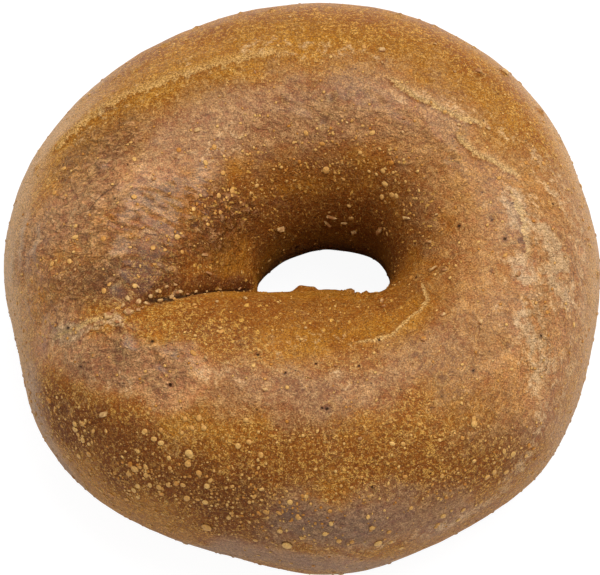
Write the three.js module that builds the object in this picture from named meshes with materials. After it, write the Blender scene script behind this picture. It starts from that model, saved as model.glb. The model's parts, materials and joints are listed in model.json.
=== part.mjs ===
// A hand-rolled bagel: one closed ring of baked dough. Millimetres, +Z up.
// It lies on its flat base in the plane z = 0, centred on the origin. +X is its right and +Y its far side.
// It was rolled as a rope whose ends meet at the left, where a crease runs outwards from the narrow hole.
import * as THREE from "three";

// ---- Driving sizes ----
const RIM_RADIUS = 56; // mean distance of the rim from the hole's axis, for a ring 110 mm across
const HOLE_RADIUS = 9.6; // mean distance of the hole's wall from that axis
const HOLE_AXIS = { x: 4.6, y: 2.6 }; // the hole lies a little off the middle of the ring
const HEIGHT = 42; // of the ring where it is plumpest
const WAIST = 19; // height at which the ring is widest

// How far a hand-rolled ring strays from those sizes, at equal angles from +X, turning towards +Y.
const RIM_STRAY = [
  -5.7, -6.6, -5.7, -4.9, -4.5, -4.0, -3.9, -3.6, -2.4, -0.4, 1.8, 3.6,
  4.3, 3.8, 6.0, 5.7, 3.9, 2.9, 3.7, 1.9, 0.5, -0.2, -2.8, -5.0,
];
const HOLE_STRAY = [
  1.7, 1.0, 0.1, -1.4, -2.3, -2.5, -2.6, -2.2, -1.2, 0.2,
  2.5, 3.9, 2.3, 0.0, -0.9, -1.5, -0.6, 1.5, 3.0, 2.7,
];
const CROWN_DROP = [1.5, 1.0, 0.5, 0.1, 0.5, 1.5, 1.0, 0.1, 0.0, 0.5, 1.0, 1.5];

// The section of the ring: a rounded oval, cut flat by the base.
const TOP_ROUNDNESS = 2.1; // power of its curve above the waist; 2 is an ellipse
const BASE_ROUNDNESS = 2.6; // below the waist the dough has settled, so it is squarer
const BASE_SINK = 2.5; // how far its curve would pass below the base

// The crease where the rope's ends meet. It is one line of the mesh, bent away from the radius near the hole.
// Distances along it are measured from the hole's axis.
const CREASE = {
  turn: THREE.MathUtils.degToRad(209.8), // its direction at bowMiddle
  bow: THREE.MathUtils.degToRad(4.7), // how far it has bent from there at its start
  start: 14,
  bowMiddle: 34,
  end: 44,
  floorAtHole: 0.5, // its floor's share of the arm's height above the waist
  floorClimb: 1.3, // power by which the floor climbs from there to the crown
  nearLip: 15, // width over which the near rope rolls down into it, at the hole
  farLip: 16,
  lipNarrowing: 0.5, // share of those widths lost by its outer end
  wallGroove: 2.4, // depth of the groove that goes on down the hole's wall
  wallGrooveReach: 0.16, // half its width, in radians
  reachRoundRing: 0.5, // turn, in radians, over which the mesh's lines take up its bend
};

// The torn ledge on the near wall of the hole, in steps along X that stand out by their reach.
const LEDGE = {
  steps: [
    { fromX: -2.0, toX: 3.2, reach: 1.9 },
    { fromX: 2.2, toX: 9.6, reach: 0.9 },
  ],
  stepEdge: 1.1, // width over which a step comes up
  foot: 16,
  brow: 27,
  browEdge: 1, // half the height over which the brow comes up
};

// The mesh: lines across the dough, spaced round the ring, and lines along the ring, spaced round the dough.
const LINES_ACROSS = 104;
const LINES_ALONG = 46;
const CROWDING_AT_CREASE = 0.62; // share by which the lines across close up at the crease
const CROWDING_AT_WALL = 0.45; // share by which the lines along close up at the hole's upper wall
const WALL_ROLL = THREE.MathUtils.degToRad(150); // where that wall is, rolling round the dough from its rim

const FULL_TURN = 2 * Math.PI;

// ---- Small helpers ----
const { clamp, euclideanModulo, smoothstep } = THREE.MathUtils;
const signedPower = (x, power) => Math.sign(x) * Math.abs(x) ** power;
const quarterCircle = (share) => Math.sqrt(1 - (1 - clamp(share, 0, 1)) ** 2); // rises steeply, ends level
const halfParabola = (share) => 1 - (1 - clamp(share, 0, 1)) ** 2; // rises gently, ends level
const bell = (x, reach) => Math.exp(-((x / reach) ** 2));

// A smooth function of an angle through values at equal angles: a closed Catmull-Rom curve.
function roundTheRing(values) {
  const count = values.length;
  return (angle) => {
    const place = euclideanModulo(angle / FULL_TURN, 1) * count;
    const step = Math.floor(place);
    const f = place - step;
    const [a, b, c, d] = [-1, 0, 1, 2].map((k) => values[(step + k + count) % count]);
    return b + 0.5 * f * (c - a + f * (2 * a - 5 * b + 4 * c - d + f * (3 * (b - c) + d - a)));
  };
}

const rimStray = roundTheRing(RIM_STRAY);
const holeStray = roundTheRing(HOLE_STRAY);
const crownDrop = roundTheRing(CROWN_DROP);

// Line number `index` of `count` round a full turn, closed up round the angle `middle`.
function crowdedAngle(index, count, crowding, middle) {
  const even = (FULL_TURN * index) / count;
  return even - crowding * (Math.sin(even - middle) + Math.sin(middle));
}

// ---- The crease ----
function creaseBend(distance, turnFromCrease) {
  const fromMiddle = clamp(distance, CREASE.start, CREASE.end) - CREASE.bowMiddle;
  const bend = CREASE.bow * (fromMiddle / (CREASE.bowMiddle - CREASE.start)) ** 2;
  return bend * bell(turnFromCrease, CREASE.reachRoundRing);
}

// The share that the crease leaves of the dough's height above its waist.
function creaseShare(distance, turnFromCrease) {
  const along = clamp((distance - CREASE.start) / (CREASE.end - CREASE.start), 0, 1);
  const floor = 1 - (1 - CREASE.floorAtHole) * (1 - along) ** CREASE.floorClimb;
  const across = (turnFromCrease * distance) / (1 - CREASE.lipNarrowing * along);
  const rise = across > 0 ? quarterCircle(across / CREASE.nearLip) : halfParabola(-across / CREASE.farLip);
  return floor + (1 - floor) * rise;
}

// ---- The torn ledge ----
function ledgeReach(x, z) {
  const underBrow = 1 - smoothstep(z, LEDGE.brow - LEDGE.browEdge, LEDGE.brow + LEDGE.browEdge);
  const aboveFoot = smoothstep(z, LEDGE.foot, LEDGE.brow - LEDGE.browEdge);
  const reaches = LEDGE.steps.map(({ fromX, toX, reach }) => {
    const begun = smoothstep(x, fromX, fromX + LEDGE.stepEdge);
    const ended = smoothstep(x, toX - LEDGE.stepEdge, toX);
    return reach * begun * (1 - ended);
  });
  return Math.max(...reaches) * underBrow * aboveFoot;
}

// ---- The surface ----
// The point at a turn round the ring and a roll round the dough, from the rim over the crown.
function pointOnDough(turn, roll) {
  const turnFromCrease = euclideanModulo(turn - CREASE.turn + Math.PI, FULL_TURN) - Math.PI;
  const wallGroove = CREASE.wallGroove * bell(turnFromCrease, CREASE.wallGrooveReach);
  const inner = HOLE_RADIUS + holeStray(turn) + wallGroove;
  const outer = RIM_RADIUS + rimStray(turn);

  const isAboveWaist = Math.sin(roll) >= 0;
  const power = 2 / (isAboveWaist ? TOP_ROUNDNESS : BASE_ROUNDNESS);
  const outwards = signedPower(Math.cos(roll), power);
  const upwards = signedPower(Math.sin(roll), power);
  const distance = (inner + outer) / 2 + ((outer - inner) / 2) * outwards;
  const crownRise = (HEIGHT - crownDrop(turn) - WAIST) * creaseShare(distance, turnFromCrease);
  const z = Math.max(0, WAIST + upwards * (isAboveWaist ? crownRise : WAIST + BASE_SINK));

  const bentTurn = turn + creaseBend(distance, turnFromCrease);
  const x = HOLE_AXIS.x + distance * Math.cos(bentTurn);
  const y = HOLE_AXIS.y + distance * Math.sin(bentTurn);
  const isNearWall = outwards < 0 && y < HOLE_AXIS.y;
  return new THREE.Vector3(x, isNearWall ? y + ledgeReach(x, z) : y, z);
}

function doughGeometry() {
  const points = [];
  for (let i = 0; i < LINES_ACROSS; i++) {
    const turn = CREASE.turn + crowdedAngle(i, LINES_ACROSS, CROWDING_AT_CREASE, 0);
    for (let j = 0; j < LINES_ALONG; j++) {
      points.push(pointOnDough(turn, crowdedAngle(j, LINES_ALONG, CROWDING_AT_WALL, WALL_ROLL)));
    }
  }
  const pointNumber = (i, j) => (i % LINES_ACROSS) * LINES_ALONG + (j % LINES_ALONG);
  const faces = [];
  for (let i = 0; i < LINES_ACROSS; i++) {
    for (let j = 0; j < LINES_ALONG; j++) {
      const [a, b] = [pointNumber(i, j), pointNumber(i + 1, j)];
      const [c, d] = [pointNumber(i + 1, j + 1), pointNumber(i, j + 1)];
      const isACShorter = points[a].distanceTo(points[c]) < points[b].distanceTo(points[d]);
      faces.push(...(isACShorter ? [a, b, c, a, c, d] : [a, b, d, b, c, d]));
    }
  }
  return new THREE.BufferGeometry().setFromPoints(points).setIndex(faces);
}

// ---- The part ----
const geometry = doughGeometry();
geometry.computeBoundingBox();
const middle = geometry.boundingBox.getCenter(new THREE.Vector3());
geometry.translate(-middle.x, -middle.y, 0);
geometry.computeVertexNormals();

const crust = new THREE.MeshStandardMaterial({ color: 0xa8692f, roughness: 0.55, metalness: 0 });
const bagel = new THREE.Mesh(geometry, crust);
bagel.name = "bagel";

const group = new THREE.Group();
group.add(bagel);
export default group;
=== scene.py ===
"""A hand-rolled bagel on a white table: a blistered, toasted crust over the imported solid.

Everything is in metres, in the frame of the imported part: +Z up, +X right, -Y towards the viewer.
"""
import json
import math
import random

import bmesh
import bpy
import numpy as np
from mathutils import Matrix, Vector, noise
from mathutils.bvhtree import BVHTree


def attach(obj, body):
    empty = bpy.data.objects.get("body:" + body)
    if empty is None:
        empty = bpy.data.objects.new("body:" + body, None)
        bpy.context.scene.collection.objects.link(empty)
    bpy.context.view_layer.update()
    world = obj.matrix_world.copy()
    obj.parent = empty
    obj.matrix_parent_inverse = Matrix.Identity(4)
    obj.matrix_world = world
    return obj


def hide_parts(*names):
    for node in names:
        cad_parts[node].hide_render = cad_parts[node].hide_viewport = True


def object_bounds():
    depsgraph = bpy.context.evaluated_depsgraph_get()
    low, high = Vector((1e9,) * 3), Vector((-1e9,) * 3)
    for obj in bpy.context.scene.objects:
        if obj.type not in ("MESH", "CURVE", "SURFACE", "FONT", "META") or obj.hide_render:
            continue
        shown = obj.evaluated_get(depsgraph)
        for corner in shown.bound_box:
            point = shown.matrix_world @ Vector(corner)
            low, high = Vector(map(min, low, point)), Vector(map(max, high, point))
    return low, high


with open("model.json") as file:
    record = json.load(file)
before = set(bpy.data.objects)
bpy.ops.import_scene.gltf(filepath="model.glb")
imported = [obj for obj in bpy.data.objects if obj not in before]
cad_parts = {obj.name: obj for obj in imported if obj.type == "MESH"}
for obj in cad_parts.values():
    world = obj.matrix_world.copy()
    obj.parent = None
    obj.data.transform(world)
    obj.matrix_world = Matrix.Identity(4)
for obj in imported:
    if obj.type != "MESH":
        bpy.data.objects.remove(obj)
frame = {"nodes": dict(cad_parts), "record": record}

CAD_LOW, CAD_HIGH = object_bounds()
MM = 0.001
SCENE = bpy.context.scene

# ---- Sizes, worked out from the frame ----
HEIGHT = CAD_HIGH.z
HOLE_LOW, HOLE_HIGH = (Vector(corner) for corner in frame["record"]["physics"]["openings"][0]["box_m"])
HOLE_AXIS = (HOLE_LOW + HOLE_HIGH) / 2

# The crust's own mesh: sections round the ring, and points round each section.
SECTIONS = 480
POINTS_ROUND_SECTION = 190
RAYS_ROUND_SECTION = 260
BASE_THINNING = 4.0  # how much wider apart the points lie on the flat base
BASE_EDGE = 2.5 * MM  # height up to which they are thinned
CORE_HEIGHT = 0.46 * HEIGHT  # of the line inside the dough from which each section is measured

# The camera: a long lens that looks down at the near side.
FRAME_WIDTH, FRAME_DEPTH = 600, 575  # in pixels
SENSOR = 36.0
VIEW_ELEVATION = math.radians(64)
VIEW_DISTANCE = 0.9
SPAN = 0.11092  # what the frame's width takes in at the bagel's middle
AIM = Vector((-0.2, -1.5, 20.3)) * MM
LENS = SENSOR * VIEW_DISTANCE / SPAN

# ---- Marks on the crust. Paths and places are pixels of the frame, and sizes are millimetres. ----
# Lines, where the skin was torn, folded or closed up: a path, and the length over which its ends fade out.
LINES = {
    "crease": ([(262, 288), (245, 290), (230, 291), (200, 293), (178, 296), (150, 300), (132, 306)], 6.0),
    "seam": ([(50, 343), (66, 333), (80, 329), (92, 322), (108, 316)], 2.5),
    "crack": ([(70, 219), (90, 209), (100, 196), (111, 189), (121, 181)], 2.5),
    "scar": ([(419, 281), (427, 300), (421, 308), (404, 321), (392, 334), (372, 340), (350, 341)], 2.0),
    "tear_far": ([(384, 76), (400, 88), (415, 99), (432, 105), (447, 114), (465, 121), (490, 128)], 2.5),
    "tear_middle": ([(452, 131), (463, 144), (474, 156), (492, 162), (508, 172), (524, 181)], 2.5),
    "tear_near": ([(507, 193), (516, 207), (522, 222), (524, 242), (527, 262)], 2.5),
    "fold": ([(42, 163), (67, 141), (110, 108), (143, 92), (203, 72), (250, 60), (300, 52)], 6.0),
}
TEARS = ("tear_far", "tear_middle", "tear_near")
# Lips rise on a line's left: the rise, how much is lost again, half the step's width, and the reach.
LIPS = {
    "seam": (0.30, 0.30, 0.8, 4.0), **dict.fromkeys(TEARS, (0.32, 0.30, 0.5, 6.0)),
    "fold": (0.65, 0.65, 1.0, 7.0),
}
RIDGES = {"crease": (-0.8, 1.8), "scar": (0.16, 1.6)}  # rise and width
# The cuts are dark as painted shade down in the crease and the crack.
CUTS = {"crease": (0.3, 0.9), "crack": (0.1, 0.5)}  # half of a dark line's width, and how dark it is
# Pale skin beside a line: its reach, its strength, how far its edge wanders, and how dark its other side is,
# as painted shadow under the skin's lifted edge.
BARE_SKIN = {
    "scar": (0.8, 0.9, 1.6, 0.4), **dict.fromkeys(TEARS, (1.6, 1.0, 2.0, 0.5)),
    "fold": (2.4, 0.6, 3.6, 0.3), "seam": (1.4, 1.0, 2.4, 0.4),
}

# Patches: a path, how far the patch fades out from it, and its strength.
PATCHES = {
    # These patches are browned crust and painted shade both: the near flank, the hole's wall, the crease and
    # the slopes beside the hole are darkened as shade.
    "toast": [
        ([(65, 415), (115, 443), (160, 473), (205, 492), (250, 505)], 14.0, 1.0),
        ([(250, 470), (320, 455), (400, 465), (450, 470), (505, 450)], 13.0, 0.65),
        ([(215, 520), (290, 528), (360, 526), (440, 512)], 10.0, 0.6),
        ([(205, 232), (240, 190), (320, 166), (395, 180), (422, 235)], 8.5, 0.65),
        ([(258, 232), (280, 215), (320, 206), (378, 212), (398, 245)], 10.0, 0.75),
        ([(285, 238), (310, 230), (375, 234), (392, 255)], 7.0, 0.55),
        ([(110, 292), (145, 272), (195, 255), (240, 225)], 11.0, 0.6),
        ([(62, 275), (105, 288), (150, 280)], 8.0, 0.6),
        ([(106, 294), (130, 296), (160, 288), (200, 284), (250, 284)], 3.6, 1.0),
        ([(118, 326), (122, 352)], 3.6, 0.7),
        ([(195, 330), (225, 328), (242, 336)], 5.5, 0.55),
        ([(270, 303), (330, 305), (390, 306), (415, 285)], 4.5, 0.5),
        ([(190, 318), (260, 312), (340, 318)], 9.0, 0.5),
        ([(290, 388), (325, 392)], 3.6, 0.5),
        ([(400, 52), (445, 70), (490, 84)], 9.0, 0.35),
        ([(85, 150), (125, 118), (170, 98), (230, 85)], 6.0, 0.35),
        ([(235, 30), (300, 22), (370, 30), (440, 55)], 8.0, 0.35),
    ],
    # These patches are a dusty mauve and tan film and painted sheen both: along the crests they stand for the
    # soft light's reflection, and on the foot for the white table's.
    "bloom": [
        ([(45, 232), (75, 202), (120, 172), (165, 152), (215, 132),
          (270, 115), (330, 106), (385, 100), (430, 120)], 15.0, 0.9),
        ([(90, 160), (150, 122), (230, 100), (300, 85)], 9.0, 0.45),
        ([(55, 225), (100, 235), (150, 222)], 10.0, 0.6),
        ([(40, 270), (85, 270), (110, 285)], 8.0, 0.5),
        ([(430, 130), (470, 190), (490, 250), (490, 320), (460, 370)], 18.0, 0.75),
        ([(515, 190), (556, 250), (548, 310), (528, 360), (532, 395)], 18.0, 1.05),
        ([(52, 332), (85, 352), (120, 370), (170, 383)], 10.0, 1.0),
        ([(170, 383), (230, 391), (290, 397), (350, 388), (410, 372), (450, 345)], 10.0, 0.75),
        ([(290, 525), (340, 527), (400, 522), (450, 520)], 11.0, 1.0),
        ([(160, 538), (240, 550), (340, 562), (420, 554)], 7.0, 1.2),
        ([(30, 380), (55, 450), (100, 503), (160, 538)], 7.0, 0.9),
        ([(440, 110), (500, 150), (545, 200)], 12.0, 0.5),
    ],
    "flour": [
        ([(57, 337), (88, 327), (112, 318)], 3.6, 0.95),
        ([(100, 362), (122, 374)], 4.0, 0.4),
        ([(168, 297), (182, 292)], 1.2, 0.6),
        ([(545, 412), (527, 455), (503, 492), (468, 516), (420, 536), (365, 552)], 4.0, 0.6),
        ([(518, 205), (545, 240), (520, 268), (562, 290), (526, 325), (540, 372)], 9.0, 0.55),
        ([(513, 198), (521, 226)], 3.6, 0.85),
        ([(545, 228), (560, 262)], 4.2, 0.9),
        ([(516, 262), (525, 279)], 3.0, 0.9),
        ([(551, 276), (567, 302)], 4.0, 0.85),
        ([(520, 316), (531, 338)], 3.6, 0.8),
        ([(540, 345), (532, 392)], 3.6, 0.6),
        # This path and the one along the far left edge also paint the bright rim as light, in flour's colour.
        ([(540, 160), (575, 230), (578, 330), (560, 400)], 7.0, 0.5),
        ([(45, 235), (80, 215), (100, 200)], 5.0, 0.4),
        ([(70, 355), (100, 378), (130, 388)], 5.0, 0.4),
        ([(12, 190), (12, 250), (20, 330)], 6.0, 0.35),
        ([(205, 377), (228, 368), (236, 388)], 4.0, 0.4),
        ([(280, 345), (330, 332), (350, 341)], 3.6, 0.4),
        ([(325, 365), (345, 385)], 4.5, 0.35),
        ([(395, 90), (440, 104), (500, 128), (555, 190)], 7.0, 0.4),
        ([(75, 140), (110, 105), (160, 78), (230, 56), (300, 42)], 4.5, 0.4),
        ([(190, 160), (240, 140)], 6.0, 0.35),
        ([(295, 54), (320, 50), (350, 51), (380, 62)], 3.0, 0.5),
    ],
    "gilt": [
        ([(60, 160), (120, 105), (200, 70), (300, 45), (400, 60), (480, 110), (550, 200)], 12.0, 0.8),
        ([(455, 150), (500, 220), (500, 320), (450, 380)], 15.0, 0.7),
        ([(520, 180), (550, 260), (545, 340), (515, 400)], 12.0, 0.6),
        ([(300, 342), (400, 332), (440, 290)], 6.0, 0.6),
    ],
    "wrinkled": [
        ([(40, 250), (75, 215), (120, 225), (180, 205), (215, 225)], 14.0, 1.0),
        ([(50, 300), (100, 270), (160, 255)], 10.0, 0.8),
        ([(80, 170), (130, 140)], 9.0, 0.7),
        ([(300, 95), (380, 105), (440, 150)], 11.0, 0.4),
        ([(510, 210), (555, 260), (540, 330)], 12.0, 0.4),
        ([(60, 330), (100, 350), (160, 365)], 9.0, 0.8),
        ([(290, 520), (350, 530)], 8.0, 0.6),
    ],
    # Painted light: these patches make the left arm, the near left and the right side brighter, as where more
    # light falls.
    "faded": [
        ([(35, 270), (60, 225), (110, 205), (165, 195)], 15.0, 1.2),
        ([(55, 335), (110, 362), (170, 380)], 11.0, 1.1),
        ([(400, 110), (450, 150), (490, 200), (500, 280)], 14.0, 0.5),
        ([(520, 200), (555, 260), (545, 330), (520, 380)], 14.0, 0.72),
    ],
    # These patches are painted reflection: the foot turns grey where it would mirror the white table.
    "ashen": [
        ([(34, 392), (52, 446), (98, 503), (160, 538)], 6.0, 0.75),
        ([(160, 538), (240, 553), (300, 564), (350, 570), (410, 562)], 7.0, 0.8),
        ([(290, 512), (345, 522), (400, 512)], 8.0, 0.5),
    ],
    "blister": [
        ([(50, 420), (100, 470), (180, 500), (250, 500)], 12.0, 1.0),
        ([(300, 505), (380, 500), (450, 480), (510, 440)], 10.0, 0.6),
        ([(215, 200), (270, 165), (340, 150), (405, 185)], 9.0, 0.7),
        ([(60, 250), (120, 262), (180, 225), (230, 190)], 10.0, 0.3),
        ([(280, 540), (340, 545)], 6.0, 0.6),
    ],
}
RAGGED_EDGE = ([(285, 292), (305, 285), (325, 289), (345, 291), (368, 297)], 4.0, 1.0)  # a patch of relief

# Pits, where a bubble has burst: the place, across and down the frame, and the width.
PITS = [
    (505, 239, 0.75), (459, 226, 0.6), (492, 220, 0.5), (473, 371, 0.6), (68, 328, 0.55), (81, 367, 0.5),
    (170, 385, 0.65), (285, 373, 0.5), (152, 341, 0.6), (258, 355, 0.5), (379, 340, 0.45), (316, 364, 0.4),
    (359, 366, 0.4), (327, 409, 0.6), (322, 408, 0.4), (553, 204, 0.35), (416, 277, 0.4), (422, 562, 0.5),
    (372, 487, 0.5), (297, 247, 0.7), (541, 336, 0.5), (415, 243, 0.35),
]

# Dents, where the skin has sunk in and is coloured darker brown: place and width.
DENTS = [
    (118, 358, 1.5), (153, 384, 1.2), (145, 378, 0.8), (492, 219, 1.2), (452, 253, 1.3), (492, 270, 1.2),
    (325, 120, 1.7), (332, 97, 1.2), (453, 157, 1.1), (415, 355, 1.5), (473, 369, 1.1), (443, 328, 1.0),
    (328, 408, 1.6), (330, 437, 1.4), (542, 335, 1.0), (442, 378, 1.6), (432, 407, 1.3), (320, 560, 1.4),
    (350, 567, 1.1), (372, 490, 1.2), (167, 192, 2.2), (163, 207, 1.8), (150, 200, 1.6), (100, 172, 2.0),
    (193, 225, 1.6), (84, 238, 2.0), (70, 262, 1.8), (115, 262, 1.6), (122, 292, 2.2), (118, 330, 1.6),
    (90, 180, 1.6), (172, 449, 1.5), (257, 353, 1.2), (560, 235, 1.4), (520, 240, 1.3), (508, 345, 1.3),
    (477, 75, 1.2), (503, 74, 1.2), (110, 110, 1.4), (64, 410, 2.2), (80, 398, 1.8), (240, 345, 1.4),
]
DENT_DEPTH = 0.14  # as a share of its width

# Flakes of bran: place, length, width, and how many degrees its length climbs to the right.
FLAKES = [
    (129, 312, 2.6, 1.7, 25), (109, 316, 2.2, 1.3, 15), (117, 322, 1.3, 0.8, -40), (123, 306, 1.2, 0.8, 60),
    (171, 297, 1.2, 0.9, 20), (178, 291, 1.6, 0.7, 15), (187, 294, 0.8, 0.5, 0), (157, 291, 0.9, 0.7, 30),
    (138, 302, 1.4, 1.0, 40), (147, 304, 1.3, 0.7, -20), (150, 296, 0.9, 0.8, 50), (160, 301, 1.2, 0.7, 10),
    (128, 299, 1.1, 0.8, -50), (103, 323, 1.3, 0.9, 20), (113, 311, 1.0, 0.8, 70), (138, 310, 1.0, 0.7, 0),
    (166, 287, 1.0, 0.6, 30), (175, 285, 0.8, 0.5, -10), (143, 308, 0.8, 0.5, 60), (96, 325, 0.9, 0.6, 10),
    (195, 291, 0.8, 0.5, 20), (219, 289, 0.8, 0.45, -10), (239, 288, 0.7, 0.4, 30), (206, 291, 0.6, 0.4, 60),
    (332, 216, 2.1, 0.75, -28), (327, 222, 1.8, 0.6, -62), (280, 228, 1.7, 1.0, 5), (344, 222, 1.2, 0.5, 0),
    (381, 230, 2.4, 0.85, 30), (354, 231, 1.2, 0.9, 40), (407, 218, 1.7, 0.6, -8), (429, 242, 1.6, 0.5, -15),
    (434, 269, 1.8, 0.5, 35), (382, 302, 1.0, 0.8, 80), (208, 273, 1.5, 0.55, -10), (204, 255, 1.5, 0.65, 12),
    (479, 72, 1.6, 1.0, -20), (382, 50, 1.6, 1.0, 10), (443, 315, 1.2, 0.8, 30), (206, 358, 1.2, 0.5, -50),
    (265, 390, 1.0, 0.6, 20), (104, 414, 1.8, 1.0, 15), (459, 125, 0.9, 0.7, 0), (488, 128, 1.2, 0.7, -30),
    (197, 130, 1.3, 0.9, 20), (518, 274, 1.2, 0.9, 50), (481, 322, 1.1, 0.8, 70), (505, 72, 1.7, 0.9, -30),
]
CRUMBS = 46  # loose ones, strewn over the crown
CRUMB_REACH = (0.018, 0.050)  # in metres, from the hole's axis

# Lumps of bran under the skin: place, width and height.
NUBS = [
    (106, 111, 2.2, 0.5), (100, 164, 2.6, 0.3), (196, 224, 2.4, 0.35), (440, 74, 1.6, 0.3),
    (505, 72, 1.8, 0.4), (541, 112, 1.6, 0.6), (597, 275, 1.4, 0.6), (286, 99, 1.8, 0.25),
    (238, 70, 1.8, 0.3), (415, 356, 2.0, 0.25), (330, 435, 1.6, 0.3), (123, 345, 2.2, 0.3),
    (13, 264, 1.4, 0.4), (36, 168, 1.6, 0.4), (398, 16, 1.6, 0.3), (442, 270, 2.0, 0.25),
    (172, 357, 1.6, 0.25), (85, 355, 2.0, 0.3), (171, 531, 1.3, 0.4), (205, 545, 1.6, 0.4),
    (135, 69, 1.2, 0.35), (163, 45, 1.2, 0.4), (196, 28, 1.2, 0.4), (227, 17, 1.4, 0.4),
    (241, 14, 1.0, 0.35), (272, 11, 1.2, 0.35), (83, 99, 1.2, 0.35), (73, 117, 1.2, 0.35),
    (39, 151, 1.3, 0.35), (11, 222, 1.2, 0.35), (400, 15, 1.2, 0.35), (435, 26, 1.2, 0.3),
    (492, 58, 1.4, 0.4), (559, 141, 1.2, 0.35), (582, 200, 1.1, 0.35),
]

# Blisters that stand out most: place and width.
BLISTERS = [
    (75, 424, 1.2), (83, 424, 1.0), (83, 440, 1.3), (79, 456, 1.2), (89, 454, 1.3), (89, 444, 0.9),
    (145, 431, 1.1), (161, 430, 1.0), (154, 439, 1.2), (161, 443, 1.2), (185, 419, 1.1), (199, 418, 1.3),
    (192, 428, 1.1), (204, 428, 1.2), (182, 433, 0.9), (189, 453, 1.6), (188, 464, 1.4), (169, 458, 1.0),
    (170, 468, 0.9), (135, 469, 1.6), (129, 474, 1.2), (146, 475, 1.2), (199, 473, 1.3), (150, 485, 1.1),
    (159, 487, 1.3), (168, 485, 1.0), (183, 485, 1.1), (207, 486, 1.3), (187, 498, 1.5), (138, 486, 1.2),
    (134, 490, 1.3), (127, 499, 1.2), (138, 497, 1.0), (115, 473, 0.9), (144, 432, 1.0), (106, 431, 0.8),
    (207, 527, 2.2), (167, 527, 1.1), (261, 455, 1.2), (238, 446, 1.2), (249, 442, 1.1), (280, 531, 1.3),
    (299, 518, 1.2), (287, 545, 2.1), (290, 502, 1.2), (246, 420, 1.1), (325, 534, 1.1), (339, 541, 1.2),
    (352, 542, 1.0), (368, 517, 1.0), (372, 528, 1.2), (389, 532, 1.1), (378, 543, 1.8), (391, 542, 1.1),
    (401, 548, 1.2), (411, 508, 1.0), (436, 527, 1.1), (443, 516, 1.4), (458, 520, 1.2), (463, 510, 1.2),
    (476, 505, 0.9), (481, 502, 1.1), (499, 482, 1.0), (487, 477, 1.3), (494, 472, 1.2), (506, 472, 1.3),
    (442, 476, 1.0), (474, 461, 0.9), (513, 454, 1.3), (526, 456, 1.0), (474, 424, 1.4), (403, 444, 1.0),
    (326, 170, 1.6), (383, 171, 1.1), (385, 184, 1.3), (382, 197, 1.2), (349, 206, 0.9), (351, 218, 1.1),
    (177, 237, 1.2), (153, 248, 1.1), (134, 197, 1.2), (104, 291, 1.2), (135, 286, 1.1), (159, 291, 1.0),
    (52, 264, 1.1), (182, 252, 0.9), (165, 250, 0.8), (445, 112, 0.9), (499, 178, 0.9), (223, 173, 1.1),
]
BLISTER_RISE = 0.24  # as a share of its width
# Scattered blisters: what their tree's sizes are set to, with widths in metres.
SCATTER_SIZES = ("Count per square metre", "Smallest width", "Largest width", "Height share", "Depth share")
LARGE_BLISTERS = (0.8e5, 0.6 * MM, 1.25 * MM, 0.2, 0.03)
SMALL_BLISTERS = (8.5e5, 0.3 * MM, 0.85 * MM, 0.26, 0.03)

LUMPS = [(22, 0.40), (9, 0.16), (4, 0.08), (1.9, 0.045)]  # size and height of the dough's own unevenness
WRINKLE_SLANT = math.radians(28)  # of the wrinkles, across the frame
WRINKLE_STRETCH = (0.45, 1, 1)  # draws a pattern out along the slant
FOLD_STRETCH = (0.55, 1, 1)
DRIP_STRETCH = (0.9, 0.9, 0.4)  # draws a pattern out down the hole's wall


# ---- Node trees ----
def arithmetic(operation):
    """A method of Value for one of Python's signs."""
    return lambda self, other: self.maths(operation, self, other)


class Value:
    """What a socket gives. Arithmetic on it adds Math nodes to its tree."""

    def __init__(self, graph, socket):
        self.graph = graph
        self.socket = socket

    def maths(self, operation, *terms):
        return self.graph.node("ShaderNodeMath", {"operation": operation}, terms)

    def also(self, output):
        """Another output of the same node."""
        return Value(self.graph, self.socket.node.outputs[output])

    __add__ = __radd__ = arithmetic("ADD")
    __mul__ = __rmul__ = arithmetic("MULTIPLY")
    __sub__ = arithmetic("SUBTRACT")
    __truediv__ = arithmetic("DIVIDE")
    __pow__ = arithmetic("POWER")

    def __rsub__(self, other):
        return self.maths("SUBTRACT", other, self)

    def __abs__(self):
        return self.maths("ABSOLUTE", self)


class Graph:
    """A node tree that is built up by expressions."""

    def __init__(self, tree):
        self.tree = tree

    def node(self, kind, settings=None, inputs=(), output=0):
        """Adds a node, sets it up, feeds its sockets by place or name, and gives one of its outputs."""
        node = self.tree.nodes.new(kind)
        for name, setting in (settings or {}).items():
            setattr(node, name, setting)
        for place, feed in inputs.items() if isinstance(inputs, dict) else enumerate(inputs):
            if isinstance(feed, Value):
                self.tree.links.new(feed.socket, node.inputs[place])
            else:
                node.inputs[place].default_value = feed
        return Value(self, node.outputs[output]) if len(node.outputs) else node

    def scaled(self, vector, by):
        """A vector or a colour times a number."""
        return self.node("ShaderNodeVectorMath", {"operation": "SCALE"}, {0: vector, "Scale": by})


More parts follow.
